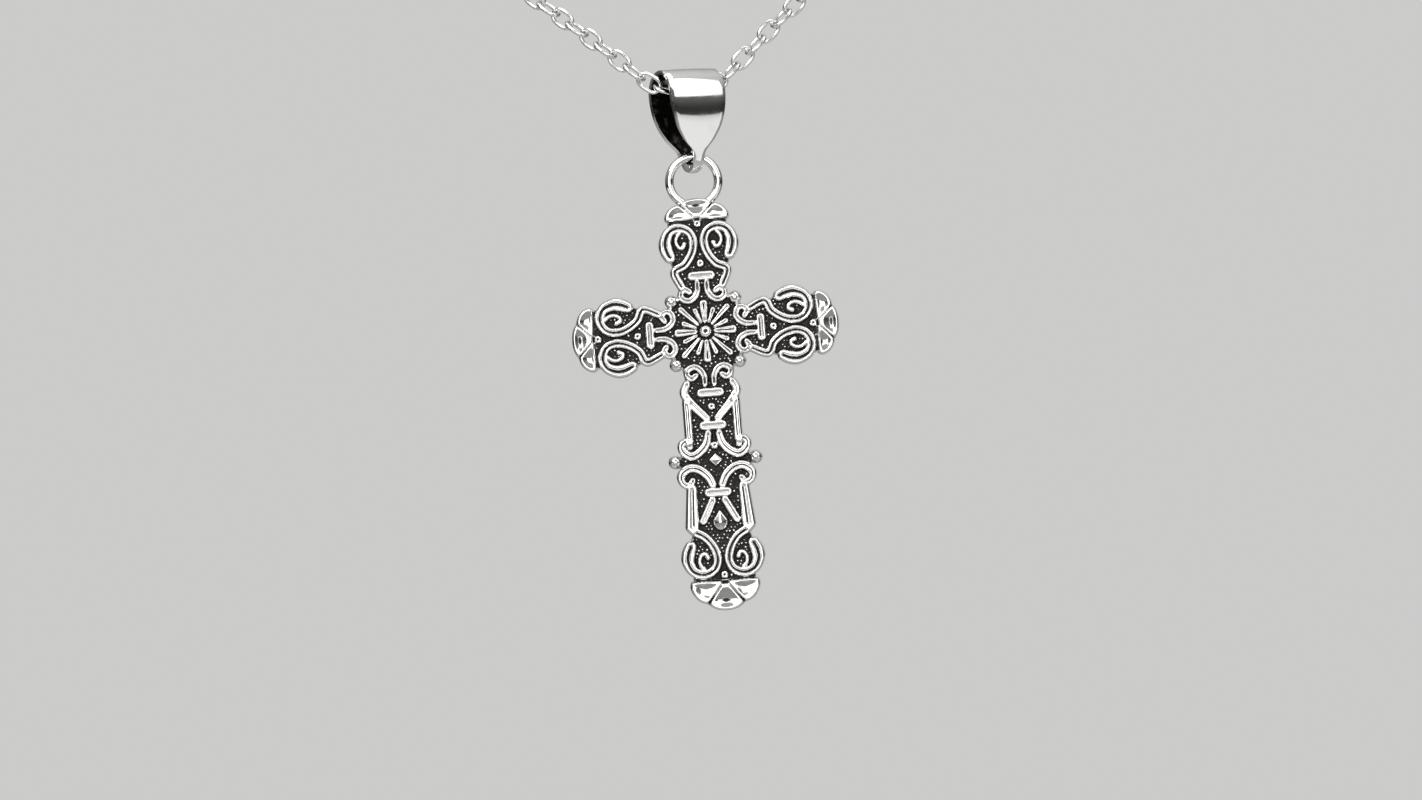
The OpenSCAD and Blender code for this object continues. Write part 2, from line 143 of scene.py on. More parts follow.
ARM_FAN_R = ARM_REACH - FAN_LEN
STEM_FAN_R = STEM_REACH - STEM_FAN_LEN
SCROLL_R = ARM_FAN_R - VOLUTE_LEN - SCROLL_LEN + SCROLL_LAP
STEM_SCROLL_R = MIDDLE_W / 2
PANEL_R = STEM_SCROLL_R + SCROLL_LEN - PANEL_LAP
PANEL_LEN = STEM_FAN_R - VOLUTE[1][0] * VOLUTE_LEN - PANEL_R
SIDE_BEADS_R = PANEL_R + SIDE_BEADS_AT * PANEL_LEN
SIDE_BEADS_X = SIDE_BEADS_OUT * STEM_W / 2
RING_AT = ARM_REACH - RING_SINK + RING_D / 2

# The sculpted surface: cell of the mesh, run of a wall, where a groove begins as a share of half its rib, how
# much fuller the ribs are than the solid ones, height, rounding and blackening of the casting's rim, and how
# far the relief and the outline are softened
CELL = 0.08
WALL = 0.1
RIDGE_SHARE = 0.6
FULLER = 0.08
RIM_Z = 0.62
RIM_ROUND = 0.3
RIM_BLACK = 0.1
SOFT = 0.045
SOFT_OUTLINE = 0.06
# Cast dots in the sunken field: radius, height, distance, clearance from the ribs, and the distance of their
# rows as a share
DOT_R = 0.13
DOT_H = 0.13
DOT_STEP = 0.42
DOT_CLEAR = 0.16
DOT_ROW = 0.87

# Outer wall of the casting: height above the back, and how much it draws in there
BACK_EDGE = ((0.16, 0), (0.05, 0.04), (0, 0.14))

# Bail: a strip folded over a round foot and turned about the upright
BAIL_H = 11.5
BAIL_W = 6.7
BAIL_T = 0.5
FOOT_R = 1.4
FOOT_T = 0.85
FOOT_ANGLES = (-90, -65, -40, -15)
BAIL_TURN = 28
# Its outline from the front: height and half width, as shares
BAIL_OUTLINE = [
    (0.00, 0.13), (0.08, 0.15), (0.16, 0.18), (0.22, 0.27), (0.32, 0.56), (0.46, 0.82), (0.63, 0.96),
    (0.81, 1.00), (1.00, 0.96),
]
BAIL_CROWN = 0.08
BAIL_EDGE = 0.12
BAIL_CUTS = 9
# Side view of its middle line above the foot: out from the middle, up from the lowest point
BAIL_BELLY = [
    (1.87, 3.0), (2.12, 4.2), (2.33, 5.4), (2.46, 6.5), (2.52, 7.6), (2.51, 8.6), (2.43, 9.35), (2.04, 10.21),
    (1.50, 10.76), (0.77, 11.13), (0, 11.25),
]

# Chain: its links, and the closing link at the nape
LINK_L = 3.22
LINK_W = 2.2
LINK_WIRE = 0.48
LINK_PITCH = 2.1
LINK_ROLL = 20
LINK_SIDES = 6
LINK_STEPS = 5
# What is left of a link's wire and of its bend after one level of subdivision
WIRE_LEFT = 0.87
BEND_LEFT = 0.975
CLASP_L = 10
CLASP_W = 4.6
CLASP_WIRE = 0.9
NECK_MIDDLE = (0, -60, 0)
DROP = (0, -124, -114)
# Half of the chain's line from the nape to the drop: out, forward, height, and the halves' sway apart
ROUTE = [
    (22, -5, -1, 0), (44, -20, -7, 0), (58, -46, -20, 0), (58, -76, -42, 0), (46, -101, -67, 0),
    (32, -112, -86, 0), (20, -118.6, -98.5, 0.3), (10.3, -122.4, -107.2, 1.2), (6, -123.6, -111.1, 1.7),
    (4.5, -123.85, -112.5, 1.65), (2.75, -124, -113.65, 1.3), (0.95, -124, -114, 0.5),
]

# Picture: its width in pixels, the size of one, and its roll in degrees
PICTURE_W = 1422
PIXEL = 0.11
ROLL = 4.5
# Setting, in metres: what the camera and the lights point at, the floor, and the colour behind
LOOK = (0, -0.125, -0.1481)
PENDANT = (0, -0.125, -0.14)
FLOOR_R = 2.0
FLOOR_AT = (0, -0.1, -1.3)
BACKDROP = (0.60, 0.60, 0.595, 1)
# Lights: name, place, width and height in metres, and watts
LIGHTS = (
    ("front", (-0.05, -1.02, -0.05), (0.85, 0.5), 2.9),
    ("key", (-0.4, -0.6, 0.34), (0.35, 0.35), 2.2),
    ("side", (0.52, -0.475, 0.28), (0.35, 0.75), 0.93),
    ("low side", (0.535, -0.485, -0.385), (0.35, 0.38), 0.24),
    ("low", (-0.6, -0.45, -0.28), (0.3, 0.15), 0.15),
    ("top", (0.05, -0.1, 0.5), (0.5, 0.4), 0.7),
    ("behind", (0.15, 0.75, -0.05), (0.7, 0.6), 0.5),
)
# What the silver mirrors, from straight below to straight above
ROOM = [
    (0.00, (0.3, 0.3, 0.3, 1)), (0.40, (0.25, 0.25, 0.25, 1)), (0.44, (0.03, 0.03, 0.03, 1)),
    (0.48, (0.03, 0.03, 0.03, 1)), (0.53, (0.1, 0.1, 0.1, 1)), (0.72, (0.28, 0.28, 0.28, 1)),
    (1.00, (0.7, 0.7, 0.7, 1)),
]

# Tarnish and oxide are the silver's own colours in its hollows; they also paint the shade inside the bail
SILVER = (0.93, 0.925, 0.91, 1)
TARNISH_AND_PAINTED_SHADE = (0.42, 0.38, 0.33, 1)
OXIDE_AND_PAINTED_SHADE = (0.012, 0.010, 0.009, 1)

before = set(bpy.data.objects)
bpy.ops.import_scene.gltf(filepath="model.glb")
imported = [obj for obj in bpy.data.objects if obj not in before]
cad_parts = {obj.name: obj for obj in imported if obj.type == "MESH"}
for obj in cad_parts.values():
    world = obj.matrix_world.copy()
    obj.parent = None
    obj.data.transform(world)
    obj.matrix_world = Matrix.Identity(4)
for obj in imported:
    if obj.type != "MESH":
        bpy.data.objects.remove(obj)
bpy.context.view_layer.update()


# Curves

def smooth_line(rows, steps):
    """A curve through the rows, with steps points from each row to the next."""
    rows = np.array(rows, float)
    padded = np.vstack([rows[:1], rows, rows[-1:]])
    points = []
    for a, b, c, d in zip(padded, padded[1:], padded[2:], padded[3:]):
        for t in np.linspace(0, 1, steps, endpoint=False):
            points.append(0.5 * (2 * b + (c - a) * t + (2 * a - 5 * b + 4 * c - d) * t ** 2
                                 + (3 * b - a - 3 * c + d) * t ** 3))
    return np.array(points + [rows[-1]])


def ease(low, high, values):
    """0 below low, 1 above high, and a smooth rise between."""
    t = np.clip((values - low) / (high - low), 0, 1)
    return t * t * (3 - 2 * t)


def turned(points, degrees):
    """The points turned about the middle, so that an arm at that angle lies along +X."""
    c, s = math.cos(math.radians(degrees)), math.sin(math.radians(degrees))
    return np.column_stack([points[:, 0] * c + points[:, 1] * s, points[:, 1] * c - points[:, 0] * s])


# How deep each point lies inside the edge of a shape, less than 0 outside

def into_band(points, rows, steps=6):
    """Depth inside a band of changing width, and half its width there."""
    line = smooth_line(rows, steps)
    deep = np.full(len(points), -9.0)
    half = np.ones(len(points))
    for a, b in zip(line, line[1:]):
        along = b[:2] - a[:2]
        t = np.clip((points - a[:2]) @ along / (along @ along), 0, 1)
        off = np.linalg.norm(points - (a[:2] + t[:, None] * along), axis=1)
        width = (a[2] + t * (b[2] - a[2])) / 2
        nearer = width - off > deep
        deep = np.where(nearer, width - off, deep)
        half = np.where(nearer, width, half)
    return deep, half


def into_polygon(points, corners):
    """Depth inside a closed line of corners."""
    corners = np.array(corners, float)
    off = np.full(len(points), 99.0)
    inside = np.zeros(len(points), bool)
    for a, b in zip(corners, np.roll(corners, -1, axis=0)):
        along = b - a
        t = np.clip((points - a) @ along / (along @ along), 0, 1)
        off = np.minimum(off, np.linalg.norm(points - (a + t[:, None] * along), axis=1))
        if a[1] != b[1]:
            level = (a[1] > points[:, 1]) != (b[1] > points[:, 1])
            inside ^= level & (points[:, 0] < a[0] + (points[:, 1] - a[1]) * along[0] / along[1])
    return np.where(inside, off, -off)


def into_disc(points, x, y, d):
    return d / 2 - np.hypot(points[:, 0] - x, points[:, 1] - y)


class Relief:
    """The sculpted face over a set of points: its height above the back, and the depth inside its outline."""

    def __init__(self, points):
        self.points = points
        self.height = np.full(len(points), PLATE_T)
        self.black = np.ones(len(points))
        self.inside = np.full(len(points), -9.0)
        self.covered = np.full(len(points), -9.0)

    def widen(self, where, deep):
        """Takes a shape into the outline, with its ledge."""
        self.inside[where] = np.maximum(self.inside[where], deep + LEDGE)

    def raise_to(self, where, height, deep, black=0):
        """Raises a shape on the plate where it is the highest, and blackens it."""
        self.black[where] = np.where(height > self.height[where], black, self.black[where])
        self.height[where] = np.maximum(self.height[where], height)
        self.widen(where, deep)
        self.covered[where] = np.maximum(self.covered[where], deep)

    def channel(self, where, deep, half, groove, black=0.9):
        """A band with a ridge along each edge and a blackened groove between, or plain if groove is 0."""
        deep, half = deep + FULLER, half + FULLER
        wall = ease(0, WALL, deep)
        dip = ease(RIDGE_SHARE * half, half, deep)
        self.raise_to(where, PLATE_T + RELIEF_H * wall - groove * dip * wall, deep - FULLER,
                      black * ease(0.35, 0.8, dip) * (groove > 0))

    def bead(self, where, points, x, y, d, dimple=0.2):
        """A rounded bead, with a dimple in its top unless dimple is 0."""
        deep = into_disc(points, x, y, d)
        off = np.clip((d / 2 - deep) / (d / 2), 0, 1)
        cap = PLATE_T - BEAD_SINK + d / 2 * np.sqrt(1 - off ** 2)
        hole = 1 - ease(0.12, 0.5, off)
        self.raise_to(where, np.where(deep > 0, cap - dimple * hole, 0), deep, 4 * dimple * hole)

    def roof(self, where, points, corners, width, rise=RELIEF_H):
        """A drop or diamond whose faces rise to a ridge."""
        deep = into_polygon(points, corners)
        share = 0.6 * ease(0, 0.14, deep) + 0.4 * np.clip(deep / (0.42 * width), 0, 1)
        self.raise_to(where, PLATE_T + rise * share, deep)


def scaled(rows, start, length, half, width):
    return [(start + a * length, b * half, w * width) for a, b, w in rows]


def fan(relief, where, points, fan_r, length, width):
    """A scalloped fan of lobes that are fluted like a shell, and the plate under it."""
    out, aside = (points[:, 0] - fan_r) / length, points[:, 1] / (width / 2)
    angle, out = np.arctan2(aside, out), np.hypot(out, aside)
    for start, end in zip(LOBES, LOBES[1:]):
        middle, spread = math.radians((start + end) / 2), math.radians((end - start) / 2 - SLIT)
        rim = []
        for share in np.linspace(-1, 1, 17):
            turn, cut = middle + share * spread, 1 - NOTCH * abs(share) ** 3
            rim.append((fan_r + length * cut * math.cos(turn), width / 2 * cut * math.sin(turn)))
        foot = [(fan_r + LOBE_FOOT * length * math.cos(turn), LOBE_FOOT * width / 2 * math.sin(turn))
                for turn in (middle + spread, middle - spread)]
        deep = into_polygon(points, foot + rim) + FULLER
        across = np.clip((angle - middle) / spread, -1, 1)
        flute = (1 - across ** 2) * ease(0.2, 0.7, out) * (1 - ease(0.65, 1, out))
        relief.raise_to(where, PLATE_T + RELIEF_H * ease(0, WALL, deep) - FLUTE * flute, deep - FULLER,
                        FLUTE_BLACK * ease(0.6, 1, flute) * (middle == 0))
    plate = [(fan_r + length * (1 - NOTCH) * math.cos(a), (1 - NOTCH) * width / 2 * math.sin(a))
             for a in np.radians(np.arange(-90, 91, 15))]
    relief.widen(where, into_polygon(points, plate))


def volute(relief, where, points, fan_r, half, first=0):
    """The big scroll beside a fan, and the curl inside it."""
    deep, wide = into_band(points, scaled(VOLUTE[first:], fan_r, -VOLUTE_LEN, half, BAND_W))
    relief.channel(where, deep, wide, *VOLUTE_GROOVE)
    deep, wide = into_band(points, scaled(CURL, fan_r, -VOLUTE_LEN, half, BAND_W))
    relief.channel(where, deep, wide, 0)


def small_scroll(relief, where, points, start):
    """The scroll between an arm and the rosette."""
    deep, wide = into_band(points, scaled(SCROLL, start, SCROLL_LEN, SCROLL_W / 2, SCROLL_BAND_W))
    relief.channel(where, deep, wide, *SCROLL_GROOVE)


def bar(relief, where, points, at):
    """A short bar that ties the ribs together."""
    reach = (BAR_L - BAR_W) / 2
    deep, wide = into_band(points, [(at, -reach, BAR_W), (at, reach, BAR_W)], 1)
    relief.channel(where, deep, wide, *BAR_GROOVE)


def mirrored(side):
    """Corners down one side and back up the other."""
    return side + [(a, -b) for a, b in reversed(side)]


def end_plate(rows, fan_r, half):
    return [(fan_r - a * VOLUTE_LEN, b * half) for a, b in rows]


def short_arm(relief, degrees):
    """The top arm or a side arm."""
    along = turned(relief.points, degrees)
    where = np.flatnonzero((along[:, 0] > STEM_SCROLL_R - 1) & (np.abs(along[:, 1]) < END_W / 2 + 1))
    points = along[where]
    folded = np.column_stack([points[:, 0], np.abs(points[:, 1])])
    plate = [(0, MIDDLE_W / 2)] + end_plate(ARM_PLATE + END_PLATE, ARM_FAN_R, END_W / 2)
    relief.widen(where, into_polygon(points, mirrored(plate)))
    fan(relief, where, points, ARM_FAN_R, FAN_LEN, FAN_W)
    volute(relief, where, folded, ARM_FAN_R, END_W / 2)
    small_scroll(relief, where, folded, SCROLL_R)
    bar(relief, where, points, ARM_FAN_R - ARM_BAR * VOLUTE_LEN)
    for at in ARM_BEADS:
        relief.bead(where, points, ARM_FAN_R - at * VOLUTE_LEN, 0, BEAD_D)


def stem(relief):
    """The long arm, with its two panels."""
    along = turned(relief.points, -90)
    where = np.flatnonzero((along[:, 0] > STEM_SCROLL_R - 1) & (np.abs(along[:, 1]) < STEM_END_W / 2 + 1.5))
    points = along[where]
    folded = np.column_stack([points[:, 0], np.abs(points[:, 1])])
    plate = [(0, MIDDLE_W / 2)] + [(PANEL_R + a * PANEL_LEN, b * STEM_W / 2) for a, b in STEM_PLATE]
    plate += end_plate(END_PLATE, STEM_FAN_R, STEM_END_W / 2)
    relief.widen(where, into_polygon(points, mirrored(plate)))
    fan(relief, where, points, STEM_FAN_R, STEM_FAN_LEN, STEM_FAN_W)
    volute(relief, where, folded, STEM_FAN_R, STEM_END_W / 2, 1)
    small_scroll(relief, where, folded, STEM_SCROLL_R)
    for rows, steps, groove, black in STEM_LINES:
        deep, wide = into_band(folded, scaled(rows, PANEL_R, PANEL_LEN, STEM_W / 2, BAND_W), steps)
        relief.channel(where, deep, wide, groove, black)
    for at in STEM_BARS:
        bar(relief, where, points, PANEL_R + at * PANEL_LEN)
    top, foot = (PANEL_R + at * PANEL_LEN for at in TEAR_AT)
    tear = [(top + a * (foot - top), b * TEAR_W / 2) for a, b in TEAR]
    relief.roof(where, points, mirrored(tear), TEAR_W)
    for at in STEM_BEADS:
        relief.bead(where, points, PANEL_R + at * PANEL_LEN, 0, BEAD_D)
    relief.bead(where, points, STEM_FAN_R - END_BEAD * VOLUTE_LEN, 0, BEAD_D)
    diamond = [(SIDE_BEADS_R + a * DIAMOND_D / 2, b * DIAMOND_D / 2) for a, b in DIAMOND]
    relief.roof(where, points, diamond, DIAMOND_D, DIAMOND_RISE)
    relief.bead(where, folded, SIDE_BEADS_R, SIDE_BEADS_X, SIDE_BEAD_D, 0)


def rosette(relief):
    """The middle square with its petals, dome and corner beads."""
    half = MIDDLE_W / 2
    where = np.flatnonzero(np.abs(relief.points).max(axis=1) < half + 1)
    points = relief.points[where]
    for quarter in range(0, 360, 90):
        for turn, reach, width, groove in PETALS:
            rows = [(DOME_D / 2 + PETAL_GAP, 0, PETAL_FOOT * width), (reach - width / 2, 0, width)]
            deep, wide = into_band(turned(points, quarter + turn), rows, 1)
            relief.channel(where, deep, wide, groove)
    relief.bead(where, points, 0, 0, DOME_D)
    corners = [(-half, -half), (half, -half), (half, half), (-half, half)]
    for x, y in corners:
        relief.bead(where, points, x, y, CORNER_BEAD_D, 0)
    relief.widen(where, into_polygon(points, corners))


def blurred(grid, reach):
    """The grid softened by a bell of that reach, in millimetres."""
    steps = max(1, int(math.ceil(2.5 * reach / CELL)))
    shares = np.exp(-0.5 * (np.arange(-steps, steps + 1) * CELL / reach) ** 2)
    shares /= shares.sum()
    for axis in (0, 1):
        grid = sum(w * np.roll(grid, k, axis) for w, k in zip(shares, range(-steps, steps + 1)))
    return grid


def field_dots(xs, ys, open_field):
    """Small cast dots strewn over the sunken field, as a height on the grid."""
    rng = np.random.default_rng(11)
    dots = np.zeros_like(xs)
    low = np.array([xs.min(), ys.min()])
    cols = int((xs.max() - low[0]) / DOT_STEP)
    rows = int((ys.max() - low[1]) / (DOT_STEP * DOT_ROW))
    reach = 4
    for row in range(rows):
        for col in range(cols):
            jitter = rng.uniform(-0.2, 0.2, 2) * DOT_STEP
            size = rng.uniform(0.75, 1.15)
            at = low + (np.array([col + 0.5 * (row % 2), DOT_ROW * row]) * DOT_STEP) + jitter
            j, i = np.rint((at - low) / CELL).astype(int)
            clear = reach < i < xs.shape[0] - reach and reach < j < xs.shape[1] - reach
            if not clear or not open_field[i, j]:
                continue
            near = (slice(i - reach, i + reach + 1), slice(j - reach, j + reach + 1))
            off = np.hypot(xs[near] - at[0], ys[near] - at[1]) / (DOT_R * size)
            dots[near] = np.maximum(dots[near], size * DOT_H * np.exp(-off ** 2))
    return dots


# Mesh helpers

def pulled_on(bm, edges):
    """Extrudes the edges once, and returns the new edges and their vertices."""
    made = bmesh.ops.extrude_edge_only(bm, edges=edges)["geom"]
    fresh = {g for g in made if isinstance(g, bmesh.types.BMVert)}
    return [g for g in made if isinstance(g, bmesh.types.BMEdge) and fresh.issuperset(g.verts)], fresh


def piece_from(bm, name, body, nodes, *finishes):
    """Turns the mesh into a finished piece that rides on a body and stands for the frame's nodes."""
    for face in bm.faces:
        face.smooth = True
    mesh = bpy.data.meshes.new(name)
    bm.to_mesh(mesh)
    bm.free()
    for finish in finishes:
        mesh.materials.append(finish)
    piece = bpy.data.objects.new(name, mesh)
    bpy.context.scene.collection.objects.link(piece)
    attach(piece, body)
    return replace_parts(piece, *nodes)


def cross_place():
    """Stands the cross's own face, in millimetres, on the frame's cross."""
    low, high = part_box("cross")
    middle = Vector(((low.x + high.x) / 2, high.y, low.z + (STEM_REACH + LEDGE) * MM))
    return Matrix.Translation(middle) @ Matrix.Rotation(math.radians(90), 4, "X") @ Matrix.Scale(MM, 4)


# Pieces

def sculpted_face(low, cells):
    """Height, blackening and depth inside the outline on the grid, and the way towards the inside."""
    ys, xs = np.mgrid[0:cells[1] + 1, 0:cells[0] + 1] * CELL
    xs, ys = xs + low[0], ys + low[1]
    relief = Relief(np.column_stack([xs.ravel(), ys.ravel()]))
    rosette(relief)
    for degrees in (0, 90, 180):
        short_arm(relief, degrees)
    stem(relief)
    height, inside, covered, black = (
        g.reshape(xs.shape) for g in (relief.height, relief.inside, relief.covered, relief.black))
    dots = field_dots(xs, ys, covered < -DOT_CLEAR)
    black = blurred(black * (1 - 0.8 * ease(0.35, 0.8, dots / DOT_H)), SOFT)
    height = blurred(height + dots, SOFT)
    inside = blurred(inside, SOFT_OUTLINE)
    sunk = 1 - ease(PLATE_T + 0.1, PLATE_T + 0.34, height)
    black = np.maximum(black, sunk * (covered > -DOT_CLEAR)) * ease(0, 0.25, inside)
    falloff = np.clip(inside / RIM_ROUND, 0, 1)
    height = RIM_Z + (height - RIM_Z) * np.sqrt(1 - (1 - falloff) ** 2)
    up, right = np.gradient(inside, CELL)
    slope = np.stack([right, up], axis=-1)
    slope /= np.maximum(np.linalg.norm(slope, axis=-1), 0.3)[..., None]
    return height, black, inside, slope


def cross_casting(antiqued, rubbed):
    """The flat-backed casting, sculpted on a fine grid that is trimmed to its outline."""
    low = np.array([-ARM_REACH - 0.5, -STEM_REACH - 0.5])
    cells = np.ceil((ARM_REACH + 0.5 - low) / CELL).astype(int)
    size = cells * CELL
    bm = bmesh.new()
    inward = bm.verts.layers.float_vector.new("inward")
    blackening = bm.verts.layers.float.new("blackening")
    depth = bm.verts.layers.float.new("depth")
    place = Matrix.Translation((low[0] + size[0] / 2, low[1] + size[1] / 2, 0))
    stretch = Matrix.Diagonal((size[0] / 2, size[1] / 2, 1, 1))
    bmesh.ops.create_grid(bm, x_segments=int(cells[0]), y_segments=int(cells[1]), size=1,
                          matrix=place @ stretch)
    height, black, inside, slope = sculpted_face(low, cells)
    for v in bm.verts:
        col, row = round((v.co.x - low[0]) / CELL), round((v.co.y - low[1]) / CELL)
        v.co.z = height[row, col]
        v[blackening] = black[row, col]
        v[depth] = inside[row, col]
        v[inward] = (*slope[row, col], 0)
    outside = [f for f in bm.faces if sum(v[depth] for v in f.verts) < 0]
    bmesh.ops.delete(bm, geom=outside, context="FACES")
    rim = [e for e in bm.edges if e.is_boundary]
    for v in {v for e in rim for v in e.verts}:
        v.co -= v[depth] * v[inward]
        v.co.z = RIM_Z
        v[blackening] = RIM_BLACK
    for level, inset in BACK_EDGE:
        rim, fresh = pulled_on(bm, rim)
        for v in fresh:
            v.co.z = level
            v.co += inset * v[inward]
    for face in bmesh.ops.edgeloop_fill(bm, edges=rim)["faces"]:
        face.material_index = 1
    bmesh.ops.recalc_face_normals(bm, faces=bm.faces[:])
    for e in rim:
        e.smooth = False
    bmesh.ops.transform(bm, matrix=cross_place(), verts=bm.verts)
    return piece_from(bm, "cross_casting", "cross", ["cross"], antiqued, rubbed)


def wire_section(bm, wire_r, sides, place):
    """The round section of a wire, ready to be spun."""
    circle = bmesh.ops.create_circle(bm, segments=sides, radius=wire_r, matrix=place)["verts"]
    return circle + list(dict.fromkeys(e for v in circle for e in v.link_edges))


def soldered_ring(silver):
    """The closed round ring on the top arm, spun once round."""
    bm = bmesh.new()
    section = wire_section(bm, RING_WIRE / 2, 20, Matrix.Translation(((RING_D - RING_WIRE) / 2, 0, 0))
                           @ Matrix.Rotation(math.radians(90), 4, "X"))
    bmesh.ops.spin(bm, geom=section, cent=(0, 0, 0), axis=(0, 0, 1), angle=math.tau, steps=96, use_merge=True)
    place = cross_place() @ Matrix.Translation((0, RING_AT, RING_DEPTH))
    bmesh.ops.transform(bm, matrix=place, verts=bm.verts)
    bmesh.ops.recalc_face_normals(bm, faces=bm.faces[:])
    return piece_from(bm, "soldered_ring", "cross", ["cross"], silver)


def bail_path():
    """Middle line of the bail's strip in side view, once round from its foot, and the wall's thickness."""
    rows = []
    for degrees in FOOT_ANGLES:
        wall = BAIL_T + (FOOT_T - BAIL_T) * ease(FOOT_ANGLES[-1], FOOT_ANGLES[0], degrees)
        turn, r = math.radians(degrees), FOOT_R + wall / 2
        rows.append((r * math.cos(turn), FOOT_T + FOOT_R + r * math.sin(turn), wall))
    rows += [(forward, up, BAIL_T) for forward, up in BAIL_BELLY]
    back = smooth_line(rows, 6)
    return np.vstack([back * (-1, 1, 1), back[-2::-1]])


def bail_strip(outer, inner):
    """The tapered strip folded into a drop-shaped loop, a little crowned across its face."""
    outline = smooth_line([(h * BAIL_H, w * BAIL_W / 2) for h, w in BAIL_OUTLINE], 6)
    bm = bmesh.new()
    share = bm.verts.layers.float.new("share")
    thickness = bm.verts.layers.deform.verify()
    ends = [bm.verts.new((side, 0, 0)) for side in (-1, 1)]
    bm.edges.new(ends)
    bmesh.ops.subdivide_edges(bm, edges=bm.edges[:], cuts=BAIL_CUTS)
    front, fresh = bm.edges[:], bm.verts[:]
    for v in fresh:
        v[share] = v.co.x
    for i, (forward, up, wall) in enumerate(bail_path()):
        if i:
            front, fresh = pulled_on(bm, front)
        half = np.interp(up, outline[:, 0], outline[:, 1])
        away = Vector((0, forward, (up - BAIL_H / 2) * 0.5)).normalized()
        for v in fresh:
            v.co = Vector((v[share] * half, forward, up)) + away * BAIL_CROWN * (0.5 - v[share] ** 2)
            v[thickness][0] = wall / FOOT_T
    bmesh.ops.remove_doubles(bm, verts=bm.verts, dist=0.01)
    bmesh.ops.recalc_face_normals(bm, faces=bm.faces[:])
    low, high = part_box("bail")
    place = Matrix.Translation(((low.x + high.x) / 2, (low.y + high.y) / 2, low.z))
    turn = Matrix.Rotation(math.radians(BAIL_TURN), 4, "Z")
    bmesh.ops.transform(bm, matrix=place @ turn @ Matrix.Scale(MM, 4), verts=bm.verts)
    strip = piece_from(bm, "bail_strip", "bail", ["bail"], outer, inner)
    strip.vertex_groups.new(name="thickness")
    wall = strip.modifiers.new("wall", "SOLIDIFY")
    wall.thickness, wall.offset, wall.use_even_offset = FOOT_T * MM, 0, True
    wall.vertex_group = "thickness"
    # the inner shell takes the second finish, the bail's inside painted dark as shade and dark reflection
    wall.material_offset = 1
    wall.material_offset_rim = 0
    edge = strip.modifiers.new("edge", "BEVEL")
    edge.width, edge.segments, edge.limit_method = BAIL_EDGE * MM, 3, "ANGLE"
    edge.angle_limit = math.radians(50)
    return strip


def middle_link(joints):
    """Number of the link that hangs in the bail."""
    return (len(joints) - 2) // 2


def chain_joints():
    """Places along the whole chain where one link's wire lies in the next, in millimetres."""
    hook = (LINK_L - LINK_WIRE - LINK_PITCH) / 2
    nape_x = (CLASP_L - CLASP_WIRE) / 2 - (CLASP_WIRE - LINK_WIRE) / 2 - hook

    def half(side):
        return [(side * nape_x, 0, 0)] + [(side * x, y + side * sway, z) for x, y, z, sway in ROUTE]

    line = smooth_line(half(-1) + [DROP] + half(1)[::-1], 6)
    run = np.append(0, np.cumsum(np.linalg.norm(np.diff(line, axis=0), axis=1)))
    half_links = round((run[-1] / LINK_PITCH - 1) / 2)
    at = np.linspace(0, run[-1], 2 * half_links + 2)
    return np.column_stack([np.interp(at, run, line[:, axis]) for axis in range(3)])


def on_line(joints, i):
    """Stands a link that lies along +X between its joints, each turned by a quarter from the one before."""
    start, end = joints[i], joints[(i + 1) % len(joints)]
    quarter = abs(i - middle_link(joints)) % 2
    ahead = Vector(end - start).normalized()
    middle = Vector(start + end) / 2
    outward = Vector((middle.x - NECK_MIDDLE[0], middle.y - NECK_MIDDLE[1], 0))
    face = (outward - outward.dot(ahead) * ahead).normalized()
    turn = Matrix((ahead, face.cross(ahead), face)).transposed().to_4x4()
    roll = Matrix.Rotation(math.radians(LINK_ROLL + 90 * quarter), 4, "X")
    return Matrix.Scale(MM, 4) @ (Matrix.Translation(middle) @ turn @ roll)


def oval_link(straight, bend_r, wire_r, sides, steps):
    """An oval of round wire: two half turns of a circle, bridged by straight sides."""
    bm = bmesh.new()
    for side in (-1, 1):
        section = wire_section(bm, wire_r, sides, Matrix.Translation((0, -side * bend_r, 0))
                               @ Matrix.Rotation(math.radians(90), 4, "Y"))
        bmesh.ops.spin(bm, geom=section, cent=(0, 0, 0), axis=(0, 0, 1), angle=math.pi, steps=steps)
        loose = [v for v in bm.verts if not v.tag]
        bmesh.ops.translate(bm, verts=loose, vec=(side * straight / 2, 0, 0))
        for v in loose:
            v.tag = True
    bmesh.ops.bridge_loops(bm, edges=[e for e in bm.edges if e.is_boundary], use_pairs=True)
    bmesh.ops.recalc_face_normals(bm, faces=bm.faces[:])
    mesh = bpy.data.meshes.new("link")
    bm.to_mesh(mesh)
    bm.free()
    return mesh


def chain_half(name, node, joints, links, silver):
    """One half of the chain, every link in its place."""
    link = oval_link(LINK_L - LINK_W, (LINK_W - LINK_WIRE) / 2 / BEND_LEFT, LINK_WIRE / 2 / WIRE_LEFT,
                     LINK_SIDES, LINK_STEPS)
    bm = bmesh.new()
    for i in links:
        before = len(bm.verts)
        bm.from_mesh(link)
        bm.verts.ensure_lookup_table()
        bmesh.ops.transform(bm, matrix=on_line(joints, i), verts=bm.verts[before:])
    bpy.data.meshes.remove(link)
    piece = piece_from(bm, name, "chain", [node], silver)
    rounder = piece.modifiers.new("rounder", "SUBSURF")
    rounder.levels = rounder.render_levels = 1
    return piece


def closing_link(joints, silver):
    """The plain link at the nape, from the last joint back to the first."""
    bm = bmesh.new()
    bm.from_mesh(oval_link(CLASP_L - CLASP_W, (CLASP_W - CLASP_WIRE) / 2, CLASP_WIRE / 2, 16, 16))
    bmesh.ops.transform(bm, matrix=on_line(joints, len(joints) - 1), verts=bm.verts)
    return piece_from(bm, "closing_link", "chain", ["clasp"], silver)


# Materials

